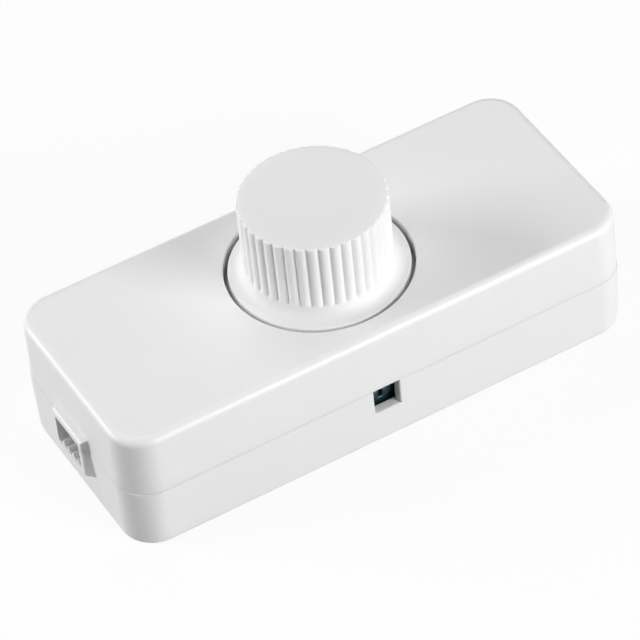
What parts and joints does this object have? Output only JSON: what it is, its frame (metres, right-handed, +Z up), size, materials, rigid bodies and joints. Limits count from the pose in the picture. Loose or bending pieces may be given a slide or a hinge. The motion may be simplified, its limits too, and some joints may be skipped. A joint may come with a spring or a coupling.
{
  "type": "rotary dimmer switch",
  "caption": "Inline rotary dimmer for a lamp cord: a rounded two-part box with a cord entry at each end, a fluted knob in a round well and a trimmer window in one side.",
  "frame": {"origin": "centre of the underside of the housing", "axes": "+X along the cord, +Y away from the side with the trimmer window, +Z up through the knob"},
  "size_m": [0.087, 0.036, 0.0346],
  "materials": {
    "white_plastic": "satin",
    "clamp_plastic": "matte",
    "plated_steel": "zinc plated",
    "aluminium": "plain",
    "brass": "plain",
    "dark_plastic": "matte",
    "laminate": "matte",
    "tinned": "tinned",
    "board_green": "satin",
    "terminal_plastic": "matte",
    "trimmer_teal": "gloss",
    "capacitor_yellow": "gloss",
    "dark_sleeve": "gloss",
    "fuse_brown": "matte",
    "ferrite": "matte",
    "enamelled_copper": "gloss",
    "varistor_blue": "gloss",
    "resistor_body": "matte"
  },
  "bodies": {
    "housing": {"upper_cover": "white_plastic", "lower_cover": "white_plastic", "housing_screws": "plated_steel", "left_cord_clamp": "clamp_plastic", "right_cord_clamp": "clamp_plastic", "clamp_screws": "plated_steel", "pot_bushing": "brass", "pot_nut": "brass", "pot_washer": "plated_steel", "pot_can": "plated_steel", "pot_wafer": "laminate", "pot_leads": "tinned", "pot_switch": "dark_plastic", "circuit_board": "board_green", "left_terminal_block": "terminal_plastic", "right_terminal_block": "terminal_plastic", "terminal_cages": "brass", "terminal_screws": "plated_steel", "trimmer_body": "trimmer_teal", "film_capacitor": "capacitor_yellow", "electrolytic_capacitor": "dark_sleeve", "fuse": "fuse_brown", "control_chip": "dark_plastic", "choke_core": "ferrite", "choke_winding": "enamelled_copper", "heat_sink": "aluminium", "triac": "dark_plastic", "triac_screw": "plated_steel", "varistor": "varistor_blue", "resistors": "resistor_body", "diodes": "dark_plastic"},
    "knob_and_shaft": {"knob": "white_plastic", "pot_shaft": "aluminium", "pot_rotor": "dark_plastic", "pot_wiper": "brass"},
    "trimmer_dial": {"trimmer_rotor": "trimmer_teal"}
  },
  "joints": [
    {"name": "knob_turn", "type": "hinge", "parent": "housing", "child": "knob_and_shaft", "pos_m": [0, 0, 0.0213], "axis": [0, 0, -1], "range_deg": [0, 300]},
    {"name": "trimmer_turn", "type": "hinge", "parent": "housing", "child": "trimmer_dial", "pos_m": [0, -0.01545, 0.0082], "axis": [0, -1, 0], "range_deg": [-105, 105]}
  ]
}
